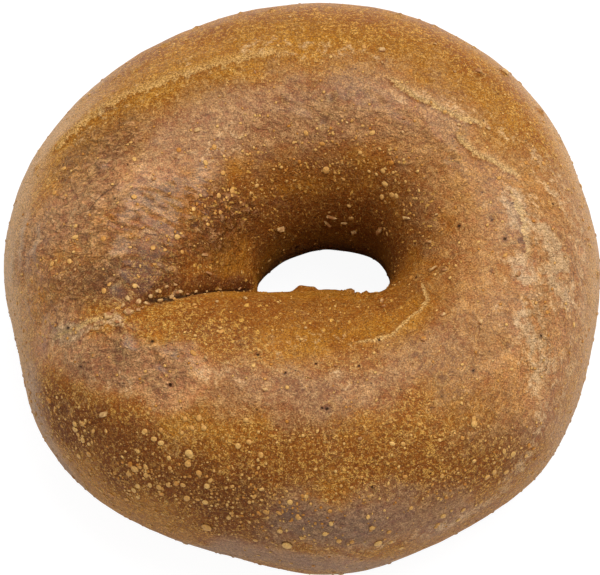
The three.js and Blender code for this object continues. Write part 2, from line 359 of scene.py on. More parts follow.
class Shader(Graph):
    """A material's tree, with the nodes that the finishes here share."""

    def __init__(self, name):
        self.material = bpy.data.materials.new(name)
        self.material.use_nodes = True
        super().__init__(self.material.node_tree)
        self.tree.nodes.clear()
        self.place_mm = self.scaled(self.node("ShaderNodeTexCoord", output="Object"), 1 / MM)

    def finish(self, colour, roughness, normal, **constants):
        surface = {"Base Color": colour, "Roughness": roughness, "Normal": normal, **constants}
        self.node("ShaderNodeOutputMaterial", inputs=[self.node("ShaderNodeBsdfPrincipled", inputs=surface)])
        return self.material

    def attribute(self, name, output="Fac"):
        return self.node("ShaderNodeAttribute", {"attribute_name": name}, output=output)

    def line(self, name):
        """The distance across one of the lines, and how much of the line there is."""
        return self.attribute(name + "_across"), self.attribute(name + "_presence")

    def noise(self, size_mm, detail=2.0, roughness=0.5, distortion=0.0, place=None):
        """Noise about 0.5, with lumps about that wide."""
        inputs = {"Vector": place or self.place_mm, "Scale": 1 / size_mm, "Detail": detail}
        inputs |= {"Roughness": roughness, "Distortion": distortion}
        return self.node("ShaderNodeTexNoise", inputs=inputs)

    def specks(self, spacing_mm, widest, place=None):
        """Round specks about that far apart, each of its own width up to a share of the spacing."""
        inputs = {"Vector": place or self.place_mm, "Scale": 1 / spacing_mm}
        away = self.node("ShaderNodeTexVoronoi", inputs=inputs)
        width = self.node("ShaderNodeSeparateColor", inputs=[away.also("Color")]) * widest
        return self.band(away, width, width * 0.5)

    def away_from(self, place):
        """How far each point is from a place, in millimetres."""
        ends = [self.place_mm, tuple(part / MM for part in place)]
        return self.node("ShaderNodeVectorMath", {"operation": "DISTANCE"}, ends, output="Value")

    def band(self, value, low, high, to_low=0.0, to_high=1.0):
        """Carries a value's stretch from low to high over to another stretch, smoothly and clamped."""
        inputs = [value, low, high, to_low, to_high]
        return self.node("ShaderNodeMapRange", {"interpolation_type": "SMOOTHSTEP"}, inputs)

    def mix(self, factor, colour_a, colour_b, blend="MIX"):
        settings = {"data_type": "RGBA", "blend_type": blend, "clamp_factor": True}
        return self.node("ShaderNodeMix", settings, {0: factor, 6: colour_a, 7: colour_b}, output=2)

    def layer(self, ground, *layers):
        """Lays colours over a ground, each as far as its factor says."""
        for factor, colour in layers:
            ground = self.mix(factor, ground, colour)
        return ground

    def bump(self, height_mm):
        return self.node("ShaderNodeBump", inputs={"Height": height_mm, "Distance": MM, "Strength": 1.0})


def rgb(red, green, blue):
    """A colour as linear light, from its screen values out of 255."""
    linear = []
    for part in (red, green, blue):
        share = part / 255
        linear.append(share / 12.92 if share <= 0.04045 else ((share + 0.055) / 1.055) ** 2.4)
    return (*linear, 1)


def add_object(name, data):
    added = bpy.data.objects.new(name, data)
    SCENE.collection.objects.link(added)
    return added


def make_mesh(name, points, faces):
    mesh = bpy.data.meshes.new(name)
    mesh.from_pydata(points, [], faces)
    mesh.shade_smooth()
    return mesh


# ---- Camera ----
def make_camera():
    back = Vector((0, -math.cos(VIEW_ELEVATION), math.sin(VIEW_ELEVATION)))
    data = bpy.data.cameras.new("camera")
    data.sensor_width = SENSOR
    data.lens = LENS
    data.clip_start = 0.1
    camera = add_object("camera", data)
    camera.location = AIM + back * VIEW_DISTANCE
    camera.rotation_euler = back.to_track_quat("Z", "Y").to_euler()
    SCENE.camera = camera
    return camera


class Surface:
    """A surface that lines of sight from the camera are cast on."""

    def __init__(self, tree, camera):
        self.tree = tree
        self.eye = camera.location
        self.turn = camera.rotation_euler.to_matrix()

    def at(self, pixel):
        """The place that a pixel of the frame shows, and the normal there. A miss takes the nearest place."""
        across = (pixel[0] - FRAME_WIDTH / 2) / FRAME_WIDTH * SENSOR / LENS
        up = (FRAME_DEPTH / 2 - pixel[1]) / FRAME_WIDTH * SENSOR / LENS
        sight = self.turn @ Vector((across, up, -1)).normalized()
        place, normal, _, _ = self.tree.ray_cast(self.eye, sight)
        if place is None:
            middle = Vector((0, 0, HEIGHT / 2))
            place, normal, _, _ = self.tree.find_nearest(self.eye + sight * (middle - self.eye).dot(sight))
        return place, normal

    def along(self, path):
        places, normals = zip(*(self.at(pixel) for pixel in path))
        return np.array(places), np.array(normals)

    def away_from(self, pixel, grid):
        """How far each point of a grid is from the place that a pixel shows, in millimetres."""
        return np.linalg.norm(grid - np.array(self.at(pixel)[0]), axis=2) / MM


# ---- The crust's mesh ----
def smooth_solid_tree(node):
    """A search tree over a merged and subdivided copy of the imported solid."""
    merged = bmesh.new()
    merged.from_mesh(node.data)
    bmesh.ops.remove_doubles(merged, verts=merged.verts, dist=0.002 * MM)
    bmesh.ops.join_triangles(
        merged, faces=merged.faces,
        angle_face_threshold=math.radians(60), angle_shape_threshold=math.radians(180)
    )
    copy = add_object("smooth_copy", bpy.data.meshes.new("smooth_copy"))
    merged.to_mesh(copy.data)
    merged.free()
    rounding = copy.modifiers.new("rounding", "SUBSURF")
    rounding.levels = rounding.render_levels = 2
    tree = BVHTree.FromObject(copy, bpy.context.evaluated_depsgraph_get())
    bpy.data.objects.remove(copy)
    return tree


def section_of(tree, turn):
    """Points round the dough's section at a turn of the ring, from the rim over the crown, spaced evenly."""
    outwards = Vector((math.cos(turn), math.sin(turn), 0))
    axis = Vector((HOLE_AXIS.x, HOLE_AXIS.y, CORE_HEIGHT))
    wall = tree.ray_cast(axis, outwards)[0]
    rim = tree.ray_cast(axis + outwards * 0.2, -outwards)[0]
    core = (wall + rim) / 2
    hits = []
    for roll in np.linspace(0, math.tau, RAYS_ROUND_SECTION, endpoint=False):
        hits.append(tree.ray_cast(core, outwards * math.cos(roll) + Vector((0, 0, math.sin(roll))))[0])
    loop = np.array([*hits, hits[0]])
    steps = np.linalg.norm(np.diff(loop, axis=0), axis=1)
    lies_on_base = (loop[1:, 2] + loop[:-1, 2]) / 2 < BASE_EDGE
    travelled = np.concatenate([[0], np.cumsum(np.where(lies_on_base, steps / BASE_THINNING, steps))])
    wanted = np.linspace(0, travelled[-1], POINTS_ROUND_SECTION, endpoint=False)
    return np.stack([np.interp(wanted, travelled, loop[:, k]) for k in range(3)], axis=1)


def grid_normals(grid):
    round_ring = np.roll(grid, -1, axis=0) - np.roll(grid, 1, axis=0)
    round_dough = np.roll(grid, -1, axis=1) - np.roll(grid, 1, axis=1)
    normals = np.cross(round_ring, round_dough)
    return normals / np.linalg.norm(normals, axis=2, keepdims=True)


def smooth(values, low, high):
    """Rises smoothly from 0 at low to 1 at high."""
    share = np.clip((values - low) / (high - low), 0, 1)
    return share * share * (3 - 2 * share)


def noise_over(grid, size_mm, seed):
    """Noise from about -1 to 1 at each point of the grid, with lumps about that wide."""
    offset = Vector((seed * 17.3, seed * 5.1, seed * 29.7))
    scaled = grid.reshape(-1, 3) / (size_mm * MM)
    return np.array([noise.noise(Vector(point) + offset) for point in scaled]).reshape(grid.shape[:2])


def nearest_on_path(grid, path):
    """Each point's nearest stretch of a path, the share along it, and the distance in millimetres."""
    starts, ends = path[:-1], path[1:]
    runs = ends - starts
    offset = grid[:, :, None, :] - starts
    share = np.clip((offset * runs).sum(axis=3) / (runs * runs).sum(axis=1), 0, 1)
    away = np.linalg.norm(offset - share[..., None] * runs, axis=3) / MM
    nearest = away.argmin(axis=2)
    pick = np.take_along_axis
    return nearest, pick(share, nearest[..., None], 2)[..., 0], pick(away, nearest[..., None], 2)[..., 0]


LINE_REACH = 8.0  # a line's distance isn't told beyond this
BLENDING = 4  # power by which overlapping patches run into each other


def line_fields(grid, surface, path, taper):
    """The signed distance across a drawn line, in millimetres, and how much of the line there is beside it.

    The distance is more than 0 on the line's left, looking along it from above."""
    places, normals = surface.along(path)
    first, last = places[0] - places[1], places[-1] - places[-2]
    before = places[0] + first / np.linalg.norm(first) * (LINE_REACH * MM)
    after = places[-1] + last / np.linalg.norm(last) * (LINE_REACH * MM)
    places = np.vstack([before, places, after])
    runs = np.diff(places, axis=0)
    lengths = np.linalg.norm(runs, axis=1)
    sides = np.cross(np.vstack([normals[0], normals]), runs / lengths[:, None])
    sides /= np.linalg.norm(sides, axis=1, keepdims=True)
    nearest, share, away = nearest_on_path(grid, places)
    is_left = ((grid - places[nearest]) * sides[nearest]).sum(axis=2) > 0
    travelled = (np.concatenate([[0], np.cumsum(lengths)])[nearest] + share * lengths[nearest]) / MM
    begins, finishes = LINE_REACH, lengths.sum() / MM - LINE_REACH
    presence = smooth(travelled, begins, begins + taper) * (1 - smooth(travelled, finishes - taper, finishes))
    across = np.clip(np.where(is_left, away, -away), -LINE_REACH, LINE_REACH)
    return across, presence


def patch_field(grid, surface, patches, wander):
    """The strongest of some patches at each point, running into each other, and drawn unevenly by a noise."""
    powers = np.zeros(grid.shape[:2])
    for path, reach, strength in patches:
        _, _, away = nearest_on_path(grid, surface.along(path)[0])
        powers += (strength * (1 - smooth(away + wander * reach * 0.3, reach * 0.1, reach))) ** BLENDING
    return powers ** (1 / BLENDING)


def bell(away, width):
    """A bump that is 1 at its middle and about that wide."""
    return np.exp(-((away / (width / 2)) ** 2))


def relief(grid, surface, lines, wrinkled):
    """How far the crust stands out from the smooth solid at each point, in millimetres."""
    height = sum(noise_over(grid, size, seed) * lump for seed, (size, lump) in enumerate(LUMPS, start=1))
    cos, sin = math.cos(WRINKLE_SLANT), math.sin(WRINKLE_SLANT)
    combed = grid @ np.array([[cos, sin, 0], [-sin, cos, 0], [0, 0, 1]]) * WRINKLE_STRETCH
    height += wrinkled * (0.5 * noise_over(combed, 2.6, seed=13) + 0.3 * noise_over(combed, 1.2, seed=14))
    bumpiness = 1 + 0.5 * noise_over(grid, 0.8, seed=7)
    for *pixel, width, rise in NUBS:
        height += rise * bell(surface.away_from(pixel, grid), width) * bumpiness
    for *pixel, width in DENTS:
        height -= DENT_DEPTH * width * bell(surface.away_from(pixel, grid), 1.2 * width)
    for name, (rise, loss, half_step, reach) in LIPS.items():
        across, presence = lines[name]
        lip = rise * smooth(across, -half_step, half_step) - loss * smooth(across, half_step, reach)
        height += presence * lip
    for name, (rise, width) in RIDGES.items():
        across, presence = lines[name]
        height += presence * rise * bell(across, width)
    ragged = patch_field(grid, surface, [RAGGED_EDGE], 0)
    height += ragged * (1.1 * noise_over(grid, 1.5, seed=11) + 0.8 * noise_over(grid, 0.75, seed=12))
    off_base = smooth(grid[:, :, 2] / MM, 0, 5)
    return height * off_base


def mesh_from_grid(name, grid):
    count, size = grid.shape[:2]
    i, j = np.meshgrid(np.arange(count), np.arange(size), indexing="ij")
    following, above = (i + 1) % count, (j + 1) % size
    faces = np.stack([i * size + j, following * size + j, following * size + above, i * size + above], axis=2)
    return make_mesh(name, grid.reshape(-1, 3).tolist(), faces.reshape(-1, 4).tolist())


def store(mesh, name, values):
    """Keeps a number for each point of a mesh, or a vector where the values are a grid of them."""
    kind, part = ("FLOAT_VECTOR", "vector") if values.ndim == 3 else ("FLOAT", "value")
    attribute = mesh.attributes.new(name, kind, "POINT")
    attribute.data.foreach_set(part, values.astype(np.float32).ravel())


DRAWN_STRETCH = 3.0
TWIST = 22.0  # how far, in millimetres, the drawn patterns climb over the dough as they go round it
TWIST_TURN = math.radians(10)


def drawn_place(grid):
    """A place for patterns drawn out along the rope, which twists one way on the left, back on the right."""
    turn = np.linspace(0, math.tau, SECTIONS, endpoint=False)[:, None]
    mean_radius = (CAD_HIGH.x - CAD_LOW.x) / 3 / MM
    under = grid_normals(grid)[:, :, 2].mean(axis=0).argmin()  # the base hides where a pattern's ends meet
    from_under = np.roll(grid, -under, axis=1)
    steps = np.linalg.norm(np.diff(from_under, axis=1, append=from_under[:, :1]), axis=2) / MM
    roll = np.roll(np.cumsum(steps, axis=1), under, axis=1) - TWIST * np.sin(turn + TWIST_TURN)
    around = [wave(turn) * mean_radius / DRAWN_STRETCH for wave in (np.cos, np.sin)]
    return np.stack([*(np.broadcast_to(part, roll.shape) for part in around), roll], axis=2)


def cover_every_side(patches, grid, normals, wander):
    """Adds what the listed patches leave out: the foot, the low part of the hole, and the sides not seen."""
    x, y, height = (grid[:, :, k] / MM for k in range(3))
    from_axis = np.hypot(grid[:, :, 0] - HOLE_AXIS.x, grid[:, :, 1] - HOLE_AXIS.y) / MM
    foot = (1 - smooth(height + 2.5 * wander, 2, 15)) * smooth(from_axis, 25, 35)
    # Low in the hole the colour is darkened as painted shade, and greyed too.
    low_in_hole = (1 - smooth(height, 8, 20)) * (1 - smooth(from_axis, 16, 24))
    # The crown and the foot get the mauve and tan film as painted sheen on top and painted reflection of the
    # table at the foot.
    crown = smooth(normals[:, :, 2], 0.55, 0.95) * smooth(wander, -0.6, 0.4)
    to_camera = np.array([0, -math.cos(VIEW_ELEVATION), math.sin(VIEW_ELEVATION)])
    turned_away = smooth(-(normals @ to_camera), -0.15, 0.3)
    broad = noise_over(grid, 20, seed=24) + 0.3 * wander
    # The near foot turns grey as painted reflection of the white table.
    near_foot = turned_away * smooth(-y, -30, 5) * (0.5 + 0.3 * smooth(broad, -0.3, 0.3))
    is_far = smooth(y, 20, 45)
    for name, least in (
        ("toast", foot * 0.3), ("toast", low_in_hole * 0.75),
        ("toast", turned_away * 0.9 * smooth(broad, -0.05, 0.35)),
        ("bloom", 0.12 * crown + 0.75 * foot),
        ("bloom", turned_away * 0.95 * smooth(-broad, -0.05, 0.3)),
        ("ashen", near_foot), ("ashen", low_in_hole * 0.45),
        ("blister", turned_away * 0.6 * smooth(broad, 0.1, 0.6)), ("blister", 0.06 * (1 - is_far) + 0.04),
    ):
        patches[name] = np.maximum(patches[name], least)
    patches["blister"] *= smooth(height, 1.5, 6) * np.clip(1 + 1.6 * noise_over(grid, 6, seed=23), 0.05, 2)

    # How strong the painted rim reflection is: strongest on the left and right sides.
    sideways = smooth(abs(x), 25, 50) * smooth(y, -45, -10)
    leftwards = smooth(-x, 30, 52) * smooth(y, -30, 0)
    patches["outer_side"] = smooth(from_axis, 22, 34)
    patches["rim"] = patches["outer_side"] * (0.3 + 0.6 * sideways + 0.3 * leftwards)


def sunken_field(grid, surface):
    """How sunken and darkened the skin is at each point: around pits, in dents and on lumps of bran."""
    sunken = np.zeros(grid.shape[:2])
    for places, share in ((PITS, 3.0), (DENTS, 1.5), (NUBS, 0.9)):
        for x, y, width, *_ in places:
            sunken = np.maximum(sunken, bell(surface.away_from((x, y), grid), share * width))
    return sunken


def make_crust(solid, camera):
    tree = smooth_solid_tree(solid)
    surface = Surface(tree, camera)
    turns = np.linspace(0, math.tau, SECTIONS, endpoint=False)
    grid = np.array([section_of(tree, turn) for turn in turns])
    normals = grid_normals(grid)
    lines = {name: line_fields(grid, surface, *line) for name, line in LINES.items()}
    wander = noise_over(grid, 7, seed=21) + 0.5 * noise_over(grid, 2.5, seed=22)
    patches = {name: patch_field(grid, surface, some, wander) for name, some in PATCHES.items()}
    cover_every_side(patches, grid, normals, wander)
    patches["sunken"] = sunken_field(grid, surface)
    grid = grid + normals * (relief(grid, surface, lines, patches["wrinkled"]) * MM)[:, :, None]
    grid[:, :, 2] = np.maximum(grid[:, :, 2], 0)
    mesh = mesh_from_grid("crust", grid)
    for name, (across, presence) in lines.items():
        store(mesh, name + "_across", across)
        store(mesh, name + "_presence", presence)
    for name, values in patches.items():
        store(mesh, name, values)
    store(mesh, "drawn", drawn_place(grid))
    return add_object("crust", mesh)


# ---- Blisters ----
def blister_shape(name, sides, rings):
    """A low dome 1 wide, closed underneath. Its vertices say how far up they are."""
    points = []
    for ring in range(rings):
        tilt = math.pi / 2 * ring / rings
        radius = 0.5 * math.cos(tilt)
        for side in range(sides):
            turn = math.tau * (side + 0.5 * (ring % 2)) / sides
            points.append((radius * math.cos(turn), radius * math.sin(turn), math.sin(tilt)))
    points.append((0, 0, 1))
    faces = [tuple(reversed(range(sides)))]
    for ring in range(rings - 1):
        for side in range(sides):
            a, b = ring * sides + side, ring * sides + (side + 1) % sides
            faces.append((a, b, b + sides, a + sides))
    top = rings * sides
    faces += [(top - sides + side, top - sides + (side + 1) % sides, top) for side in range(sides)]
    mesh = make_mesh(name, points, faces)
    store(mesh, "rise", np.array([point[2] for point in points]))
    return add_object(name, mesh)


def place_blisters(name, surface, shape, finish):
    """Copies of a dome at the places in the list BLISTERS."""
    draw = random.Random(12)
    corners = [vertex.co for vertex in shape.data.vertices]
    faces = [tuple(face.vertices) for face in shape.data.polygons]
    sunk_by = Vector((0, 0, 0.03 * MM))
    points, copies, paleness = [], [], []
    for *pixel, width in BLISTERS:
        place, normal = surface.at(pixel)
        spin = Matrix.Rotation(draw.uniform(0, math.tau), 3, "Z")
        stand = normal.to_track_quat("Z", "Y").to_matrix() @ spin
        oval = draw.uniform(0.85, 1.15)
        size = Vector((width * oval, width / oval, width * BLISTER_RISE)) * MM
        copies += [tuple(len(points) + number for number in face) for face in faces]
        points += [place + stand @ (corner * size - sunk_by) for corner in corners]
        paleness += [draw.uniform(0.35, 1.0)] * len(corners)
    mesh = make_mesh(name, points, copies)
    store(mesh, "rise", np.tile([corner.z for corner in corners], len(BLISTERS)))
    store(mesh, "paleness", np.array(paleness))
    mesh.materials.append(finish)
    return add_object(name, mesh)


def scatter_tree(name, shape, finish):
    """Geometry nodes that scatter a shape over a surface, thickest where its attribute "blister" is high."""
    tree = bpy.data.node_groups.new(name, "GeometryNodeTree")
    tree.interface.new_socket("Geometry", in_out="INPUT", socket_type="NodeSocketGeometry")
    for size in SCATTER_SIZES:
        tree.interface.new_socket(size, in_out="INPUT", socket_type="NodeSocketFloat")
    tree.interface.new_socket("Seed", in_out="INPUT", socket_type="NodeSocketInt")
    tree.interface.new_socket("Geometry", in_out="OUTPUT", socket_type="NodeSocketGeometry")
    g = Graph(tree)
    given = g.node("NodeGroupInput")
    count, smallest, largest, height_share, depth_share = (given.also(size) for size in SCATTER_SIZES)
    seed = given.also("Seed")

    def chance(low, high, offset):
        random_value = {2: low, 3: high, 8: seed + offset}
        return g.node("FunctionNodeRandomValue", {"data_type": "FLOAT"}, random_value, output=1)

    thickness = g.node("GeometryNodeInputNamedAttribute", {"data_type": "FLOAT"}, {"Name": "blister"})
    points = g.node("GeometryNodeDistributePointsOnFaces", inputs={
        "Mesh": given.also("Geometry"), "Density": thickness * count, "Seed": seed
    })
    width = smallest + (largest - smallest) * chance(0.0, 1.0, 1) ** 1.7
    oval = chance(0.75, 1.25, 2)
    scale = g.node("ShaderNodeCombineXYZ", inputs=[width * oval, width / oval, width * height_share])
    down = g.scaled(points.also("Normal"), width * depth_share * -1)
    sunk = g.node("GeometryNodeSetPosition", inputs={"Geometry": points, "Offset": down})
    spin = g.node("ShaderNodeCombineXYZ", inputs=[0.0, 0.0, chance(0.0, math.tau, 3)])
    turned = g.node("FunctionNodeRotateRotation", {"rotation_space": "LOCAL"}, [
        points.also("Rotation"), g.node("FunctionNodeEulerToRotation", inputs=[spin])
    ])
    one = g.node("GeometryNodeObjectInfo", inputs={"Object": shape}, output="Geometry")
    copies = g.node("GeometryNodeInstanceOnPoints", inputs={
        "Points": sunk, "Instance": one, "Rotation": turned, "Scale": scale
    })
    paleness = g.node("GeometryNodeStoreNamedAttribute", {"data_type": "FLOAT", "domain": "INSTANCE"}, {
        "Geometry": copies, "Name": "paleness", "Value": chance(0.0, 1.0, 4)
    })
    real = g.node("GeometryNodeRealizeInstances", inputs=[paleness])
    finished = g.node("GeometryNodeSetMaterial", inputs={"Geometry": real, "Material": finish})
    g.node("NodeGroupOutput", inputs=[finished])
    return tree


def scatter(name, over, tree, sizes, seed):
    """A plain mesh of what a scatter tree makes over a piece. The sizes are the tree's inputs, in order."""
    carrier = add_object(name + "_carrier", over.data)
    spread = carrier.modifiers.new("spread", "NODES")
    spread.node_group = tree
    sockets = [item for item in tree.interface.items_tree if item.in_out == "INPUT"][1:]
    for socket, setting in zip(sockets, (*sizes, seed), strict=True):
        spread[socket.identifier] = setting
    carrier.update_tag()
    made = carrier.evaluated_get(bpy.context.evaluated_depsgraph_get())
    mesh = bpy.data.meshes.new_from_object(made)
    mesh.name = name
    bpy.data.objects.remove(carrier)
    return add_object(name, mesh)


# ---- Flakes ----
def add_flake(mesh, place, normal, length, width, climb, draw):
    """Adds a thin, broken flake that lies on the crust, with one corner lifted."""
    sides = draw.choice((5, 6, 7))
    thickness = (0.12 + 0.3 * width) * MM
    lean = Vector((draw.uniform(-0.2, 0.2), draw.uniform(-0.2, 0.2), 0.6))
    up = (normal + lean).normalized()
    clearance = (0.1 + 0.35 * length * up.cross(normal).length) * MM
    along = Vector((math.cos(climb), math.sin(climb), 0))
    across = up.cross(along).normalized()
    stand = Matrix((across.cross(up), across, up)).transposed().to_4x4()
    to_place = Matrix.Translation(place + normal * clearance) @ stand
    outline = []
    for side in range(sides):
        angle = math.tau * (side + draw.uniform(-0.3, 0.3)) / sides
        reach = draw.uniform(0.8, 1.15) * MM / 2
        squared = [math.copysign(abs(part) ** 0.6, part) for part in (math.cos(angle), math.sin(angle))]
        outline.append((squared[0] * length * reach, squared[1] * width * reach))
    rings = []
    for share, level in ((0.86, -thickness / 2), (1.0, 0), (0.8, thickness / 2)):
        ring = []
        for x, y in outline:
            corner = Vector((x * share, y * share, level + draw.uniform(-0.05, 0.05) * MM))
            ring.append(mesh.verts.new(to_place @ corner))
        rings.append(ring)
    middle = mesh.verts.new(to_place @ Vector((0, 0, thickness * 0.7)))
    mesh.faces.new(reversed(rings[0]))
    for lower, upper in zip(rings, rings[1:]):
        for side in range(sides):
            after = (side + 1) % sides
            mesh.faces.new((lower[side], lower[after], upper[after], upper[side]))
    for side in range(sides):
        mesh.faces.new((rings[2][side], rings[2][(side + 1) % sides], middle))


def make_flakes(surface, finish):
    draw = random.Random(31)
    mesh = bmesh.new()
    for *pixel, length, width, climb in FLAKES:
        add_flake(mesh, *surface.at(pixel), length, width, math.radians(climb), draw)
    for _ in range(CRUMBS):
        turn, reach = draw.uniform(0, math.tau), draw.uniform(*CRUMB_REACH)
        above = Vector((HOLE_AXIS.x + reach * math.cos(turn), HOLE_AXIS.y + reach * math.sin(turn), 0.1))
        place, normal, _, _ = surface.tree.ray_cast(above, Vector((0, 0, -1)))
        if place is not None:
            length, width, climb = draw.uniform(0.5, 1.1), draw.uniform(0.35, 0.6), draw.uniform(0, math.pi)
            add_flake(mesh, place, normal, length, width, climb, draw)
    flakes = bpy.data.meshes.new("bran_flakes")
    mesh.to_mesh(flakes)
    mesh.free()
    flakes.materials.append(finish)
    return add_object("bran_flakes", flakes)


# ---- Finishes ----
GOLD = rgb(192, 124, 30)
ORANGE = rgb(160, 90, 20)
BROWN = rgb(134, 71, 17)
DEEP_BROWN = rgb(104, 58, 20)
DARK = rgb(54, 30, 12)
MAUVE = rgb(168, 108, 72)
TAN = rgb(220, 166, 110)
FOLD_SHADE = rgb(130, 74, 50)
SUNKEN = rgb(108, 60, 36)
GREY_SHEEN = rgb(168, 128, 102)
GILT = rgb(186, 125, 26)
GOLDEN = rgb(232, 174, 84)
SANDY = rgb(226, 174, 124)
PALE = rgb(232, 186, 118)
WHITISH = rgb(244, 206, 160)
RIM_REFLECTION = rgb(238, 190, 138)
BLISTER_FOOT_SHADE = rgb(112, 60, 20)
BLISTER_BROWNED = rgb(196, 126, 46)
BLISTER_PALE = rgb(230, 180, 104)
BRAN_STREAK = rgb(160, 108, 52)
BRAN_BROWNED = rgb(170, 106, 50)
BRAN_PALE = rgb(226, 182, 116)
BLACK = (0, 0, 0, 1)
WHITE = (1, 1, 1, 1)
DARKER_GRAIN = (0.68, 0.61, 0.50, 1)
LIGHTER_GRAIN = (1.35, 1.38, 1.36, 1)


class CrustPatterns:
    """The patches stored on the crust's mesh, and the noises that its finish is made of."""

    def __init__(self, s):
        for name in (
            "toast", "bloom", "flour", "gilt", "wrinkled", "faded", "ashen", "outer_side", "rim", "sunken"
        ):
            setattr(self, name, s.attribute(name))
        drawn = s.attribute("drawn", "Vector")
        across_folds = s.node("ShaderNodeMapping", inputs={
            "Vector": s.place_mm, "Rotation": (0, 0, WRINKLE_SLANT), "Scale": FOLD_STRETCH
        })
        down_the_wall = s.node("ShaderNodeVectorMath", {"operation": "MULTIPLY"}, [drawn, DRIP_STRETCH])
        self.clouds = s.noise(9, detail=5, roughness=0.62)
        self.blotches = s.noise(2.0, detail=6, roughness=0.68, distortion=0.4)
        self.mottle = s.noise(0.7, detail=4, roughness=0.7, distortion=0.6)
        self.grain = s.noise(0.3, detail=2, roughness=0.75)
        self.streaks = s.noise(2.6, detail=6, roughness=0.7, place=drawn)
        self.folds = s.noise(1.4, detail=5, roughness=0.62, distortion=0.5, place=across_folds)
        self.specks = s.specks(0.7, 0.45)
        self.fine_specks = s.specks(0.36, 0.5)
        self.dimples = s.specks(2.6, 0.11)
        self.drips = s.specks(0.62, 0.42, place=down_the_wall)
        self.on_wall = s.band(self.outer_side, 0.8, 0.2)
        self.bloomed_sheen = s.band(self.uneven(self.bloom, streaks=0.4, blotches=0.5, clouds=0.4), 0.0, 1.05)
        # Thin lines, where a noise passes its middle: wrinkles in the skin, and curled threads of it.
        creased = s.noise(1.5, detail=4, roughness=0.62, distortion=0.3, place=drawn)
        self.wrinkles = s.band(abs(creased - 0.5), 0.05, 0.01)
        pieces = s.band(s.noise(0.7, detail=2), 0.42, 0.56)
        threads = s.band(abs(s.noise(0.75, detail=3, roughness=0.65, distortion=0.9) - 0.5), 0.085, 0.02)
        calm = self.on_wall * 0.8 + self.bloomed_sheen * 0.6 + self.wrinkled * 0.4 + self.gilt * 0.3
        curled = threads * pieces * s.band(self.blotches, 0.35, 0.58, 0.3, 1.0)
        self.curled = curled * s.band(calm, 0.0, 1.0, 1.0, 0.3) * s.band(self.toast, 0.6, 1.0, 1.0, 0.45)

    def uneven(self, field, **shares):
        """A field that some of the noises break up, each by its share."""
        for name, share in shares.items():
            field = field + (getattr(self, name) - 0.5) * share
        return field


def baked_ground(s, p):
    """Orange and gold, browned and darkened as painted shade in places, with a dusty mauve and tan film that
    is partly painted sheen.
    """
    darkened = p.uneven(p.toast, blotches=0.7, clouds=0.5)
    # The blush is the mauve and tan of the dusty film, which also stands for the light's sheen on the crests.
    sheen_blush = s.mix(s.band(p.streaks * 0.3 + p.mottle * 0.3 + p.blotches * 0.4, 0.4, 0.6), MAUVE, TAN)
    sheen_blush = s.scaled(sheen_blush, s.band(p.toast, 0.1, 1.0, 1.0, 0.62))
    # Painted shade: brown and deep brown darken the hole, the crease and the near flank, as well as the
    # browned crust.
    ground = s.layer(
        ORANGE,
        (s.band(p.clouds * 0.6 + p.blotches * 0.4, 0.4, 0.6), GOLD),
        (s.band(darkened, 0.0, 1.0), BROWN),
        (s.band(darkened, 0.75, 1.5), DEEP_BROWN),
        (p.bloomed_sheen * 0.85, sheen_blush),
        (s.band(p.uneven(p.gilt, blotches=1.2, clouds=0.8), 0.0, 1.1) * 0.5, GILT),
        (s.band(p.uneven(p.ashen, blotches=1.0, mottle=0.6), 0.0, 0.9) * 0.75, GREY_SHEEN),
    )
    # Painted light: the colour is made brighter over the left arm, the near left and the right side.
    return s.scaled(ground, s.band(p.faded, 0.0, 1.0, 0.97, 1.38))


def skin_marks(s, p, ground):
    """Threads of curled skin, folds and wrinkles with painted shade and highlight, flour, specks, drips in
    the hole, and dimples darkened as painted shade.
    """
    in_folds = s.band(p.wrinkled, 0.2, 0.9)
    floured = s.band(p.uneven(p.flour, streaks=1.2, blotches=2.0, mottle=0.8), 0.4, 0.95)
    return s.layer(
        ground,
        (p.curled, s.mix(p.bloomed_sheen, GOLDEN, SANDY)),
        # Painted shade in the folds' hollows and the wrinkles' grooves, and painted highlight on the folds'
        # ridges.
        (s.band(p.folds, 0.48, 0.32) * in_folds * 0.55, FOLD_SHADE),
        (s.band(p.folds, 0.52, 0.66) * in_folds * 0.45, SANDY),
        (p.wrinkles * s.band(p.clouds + p.bloom * 0.1, 0.48, 0.7, 0.0, 0.4), FOLD_SHADE),
        (floured * s.band(p.grain, 0.3, 0.6, 0.4, 0.65), WHITISH),
        (s.band(p.specks * p.fine_specks + p.fine_specks * 0.6, 0.2, 0.8) * 0.6, PALE),
        (p.drips * p.on_wall * s.band(p.toast, 0.2, 0.5) * s.band(p.blotches, 0.34, 0.46), GOLDEN),
        # Dimples darkened as painted shade.
        (p.dimples * 0.7, DARK),
    )


def line_marks(s, p, ground):
    """Dark cuts as painted shade in the crease and the crack, and pale skin with a brown edge of painted
    shadow beside the other lines. It also gives the cuts' depth.
    """
    depth = 0
    for name, (half_width, dark) in CUTS.items():
        across, presence = s.line(name)
        cut = s.band(abs(p.uneven(across, grain=0.5)), half_width * 1.8, half_width * 0.4) * presence
        ground = s.mix(cut * dark, ground, DARK)
        depth = depth + cut * -0.25
    for name, (reach, strength, wander, shade) in BARE_SKIN.items():
        across, presence = s.line(name)
        ragged = p.uneven(across, blotches=wander, mottle=1.4)
        bare = s.band(ragged, reach, 0.1) * s.band(ragged, -0.3, 0.1) * presence
        bare = bare * s.band(p.grain, 0.35, 0.6, strength * 0.3, strength)
        # Painted shadow: brown on the line's other side.
        under = s.band(abs(ragged + 0.45), 0.5, 0.0) * presence * shade
        ground = s.layer(ground, (bare, PALE), (under, BROWN))
    return ground, depth


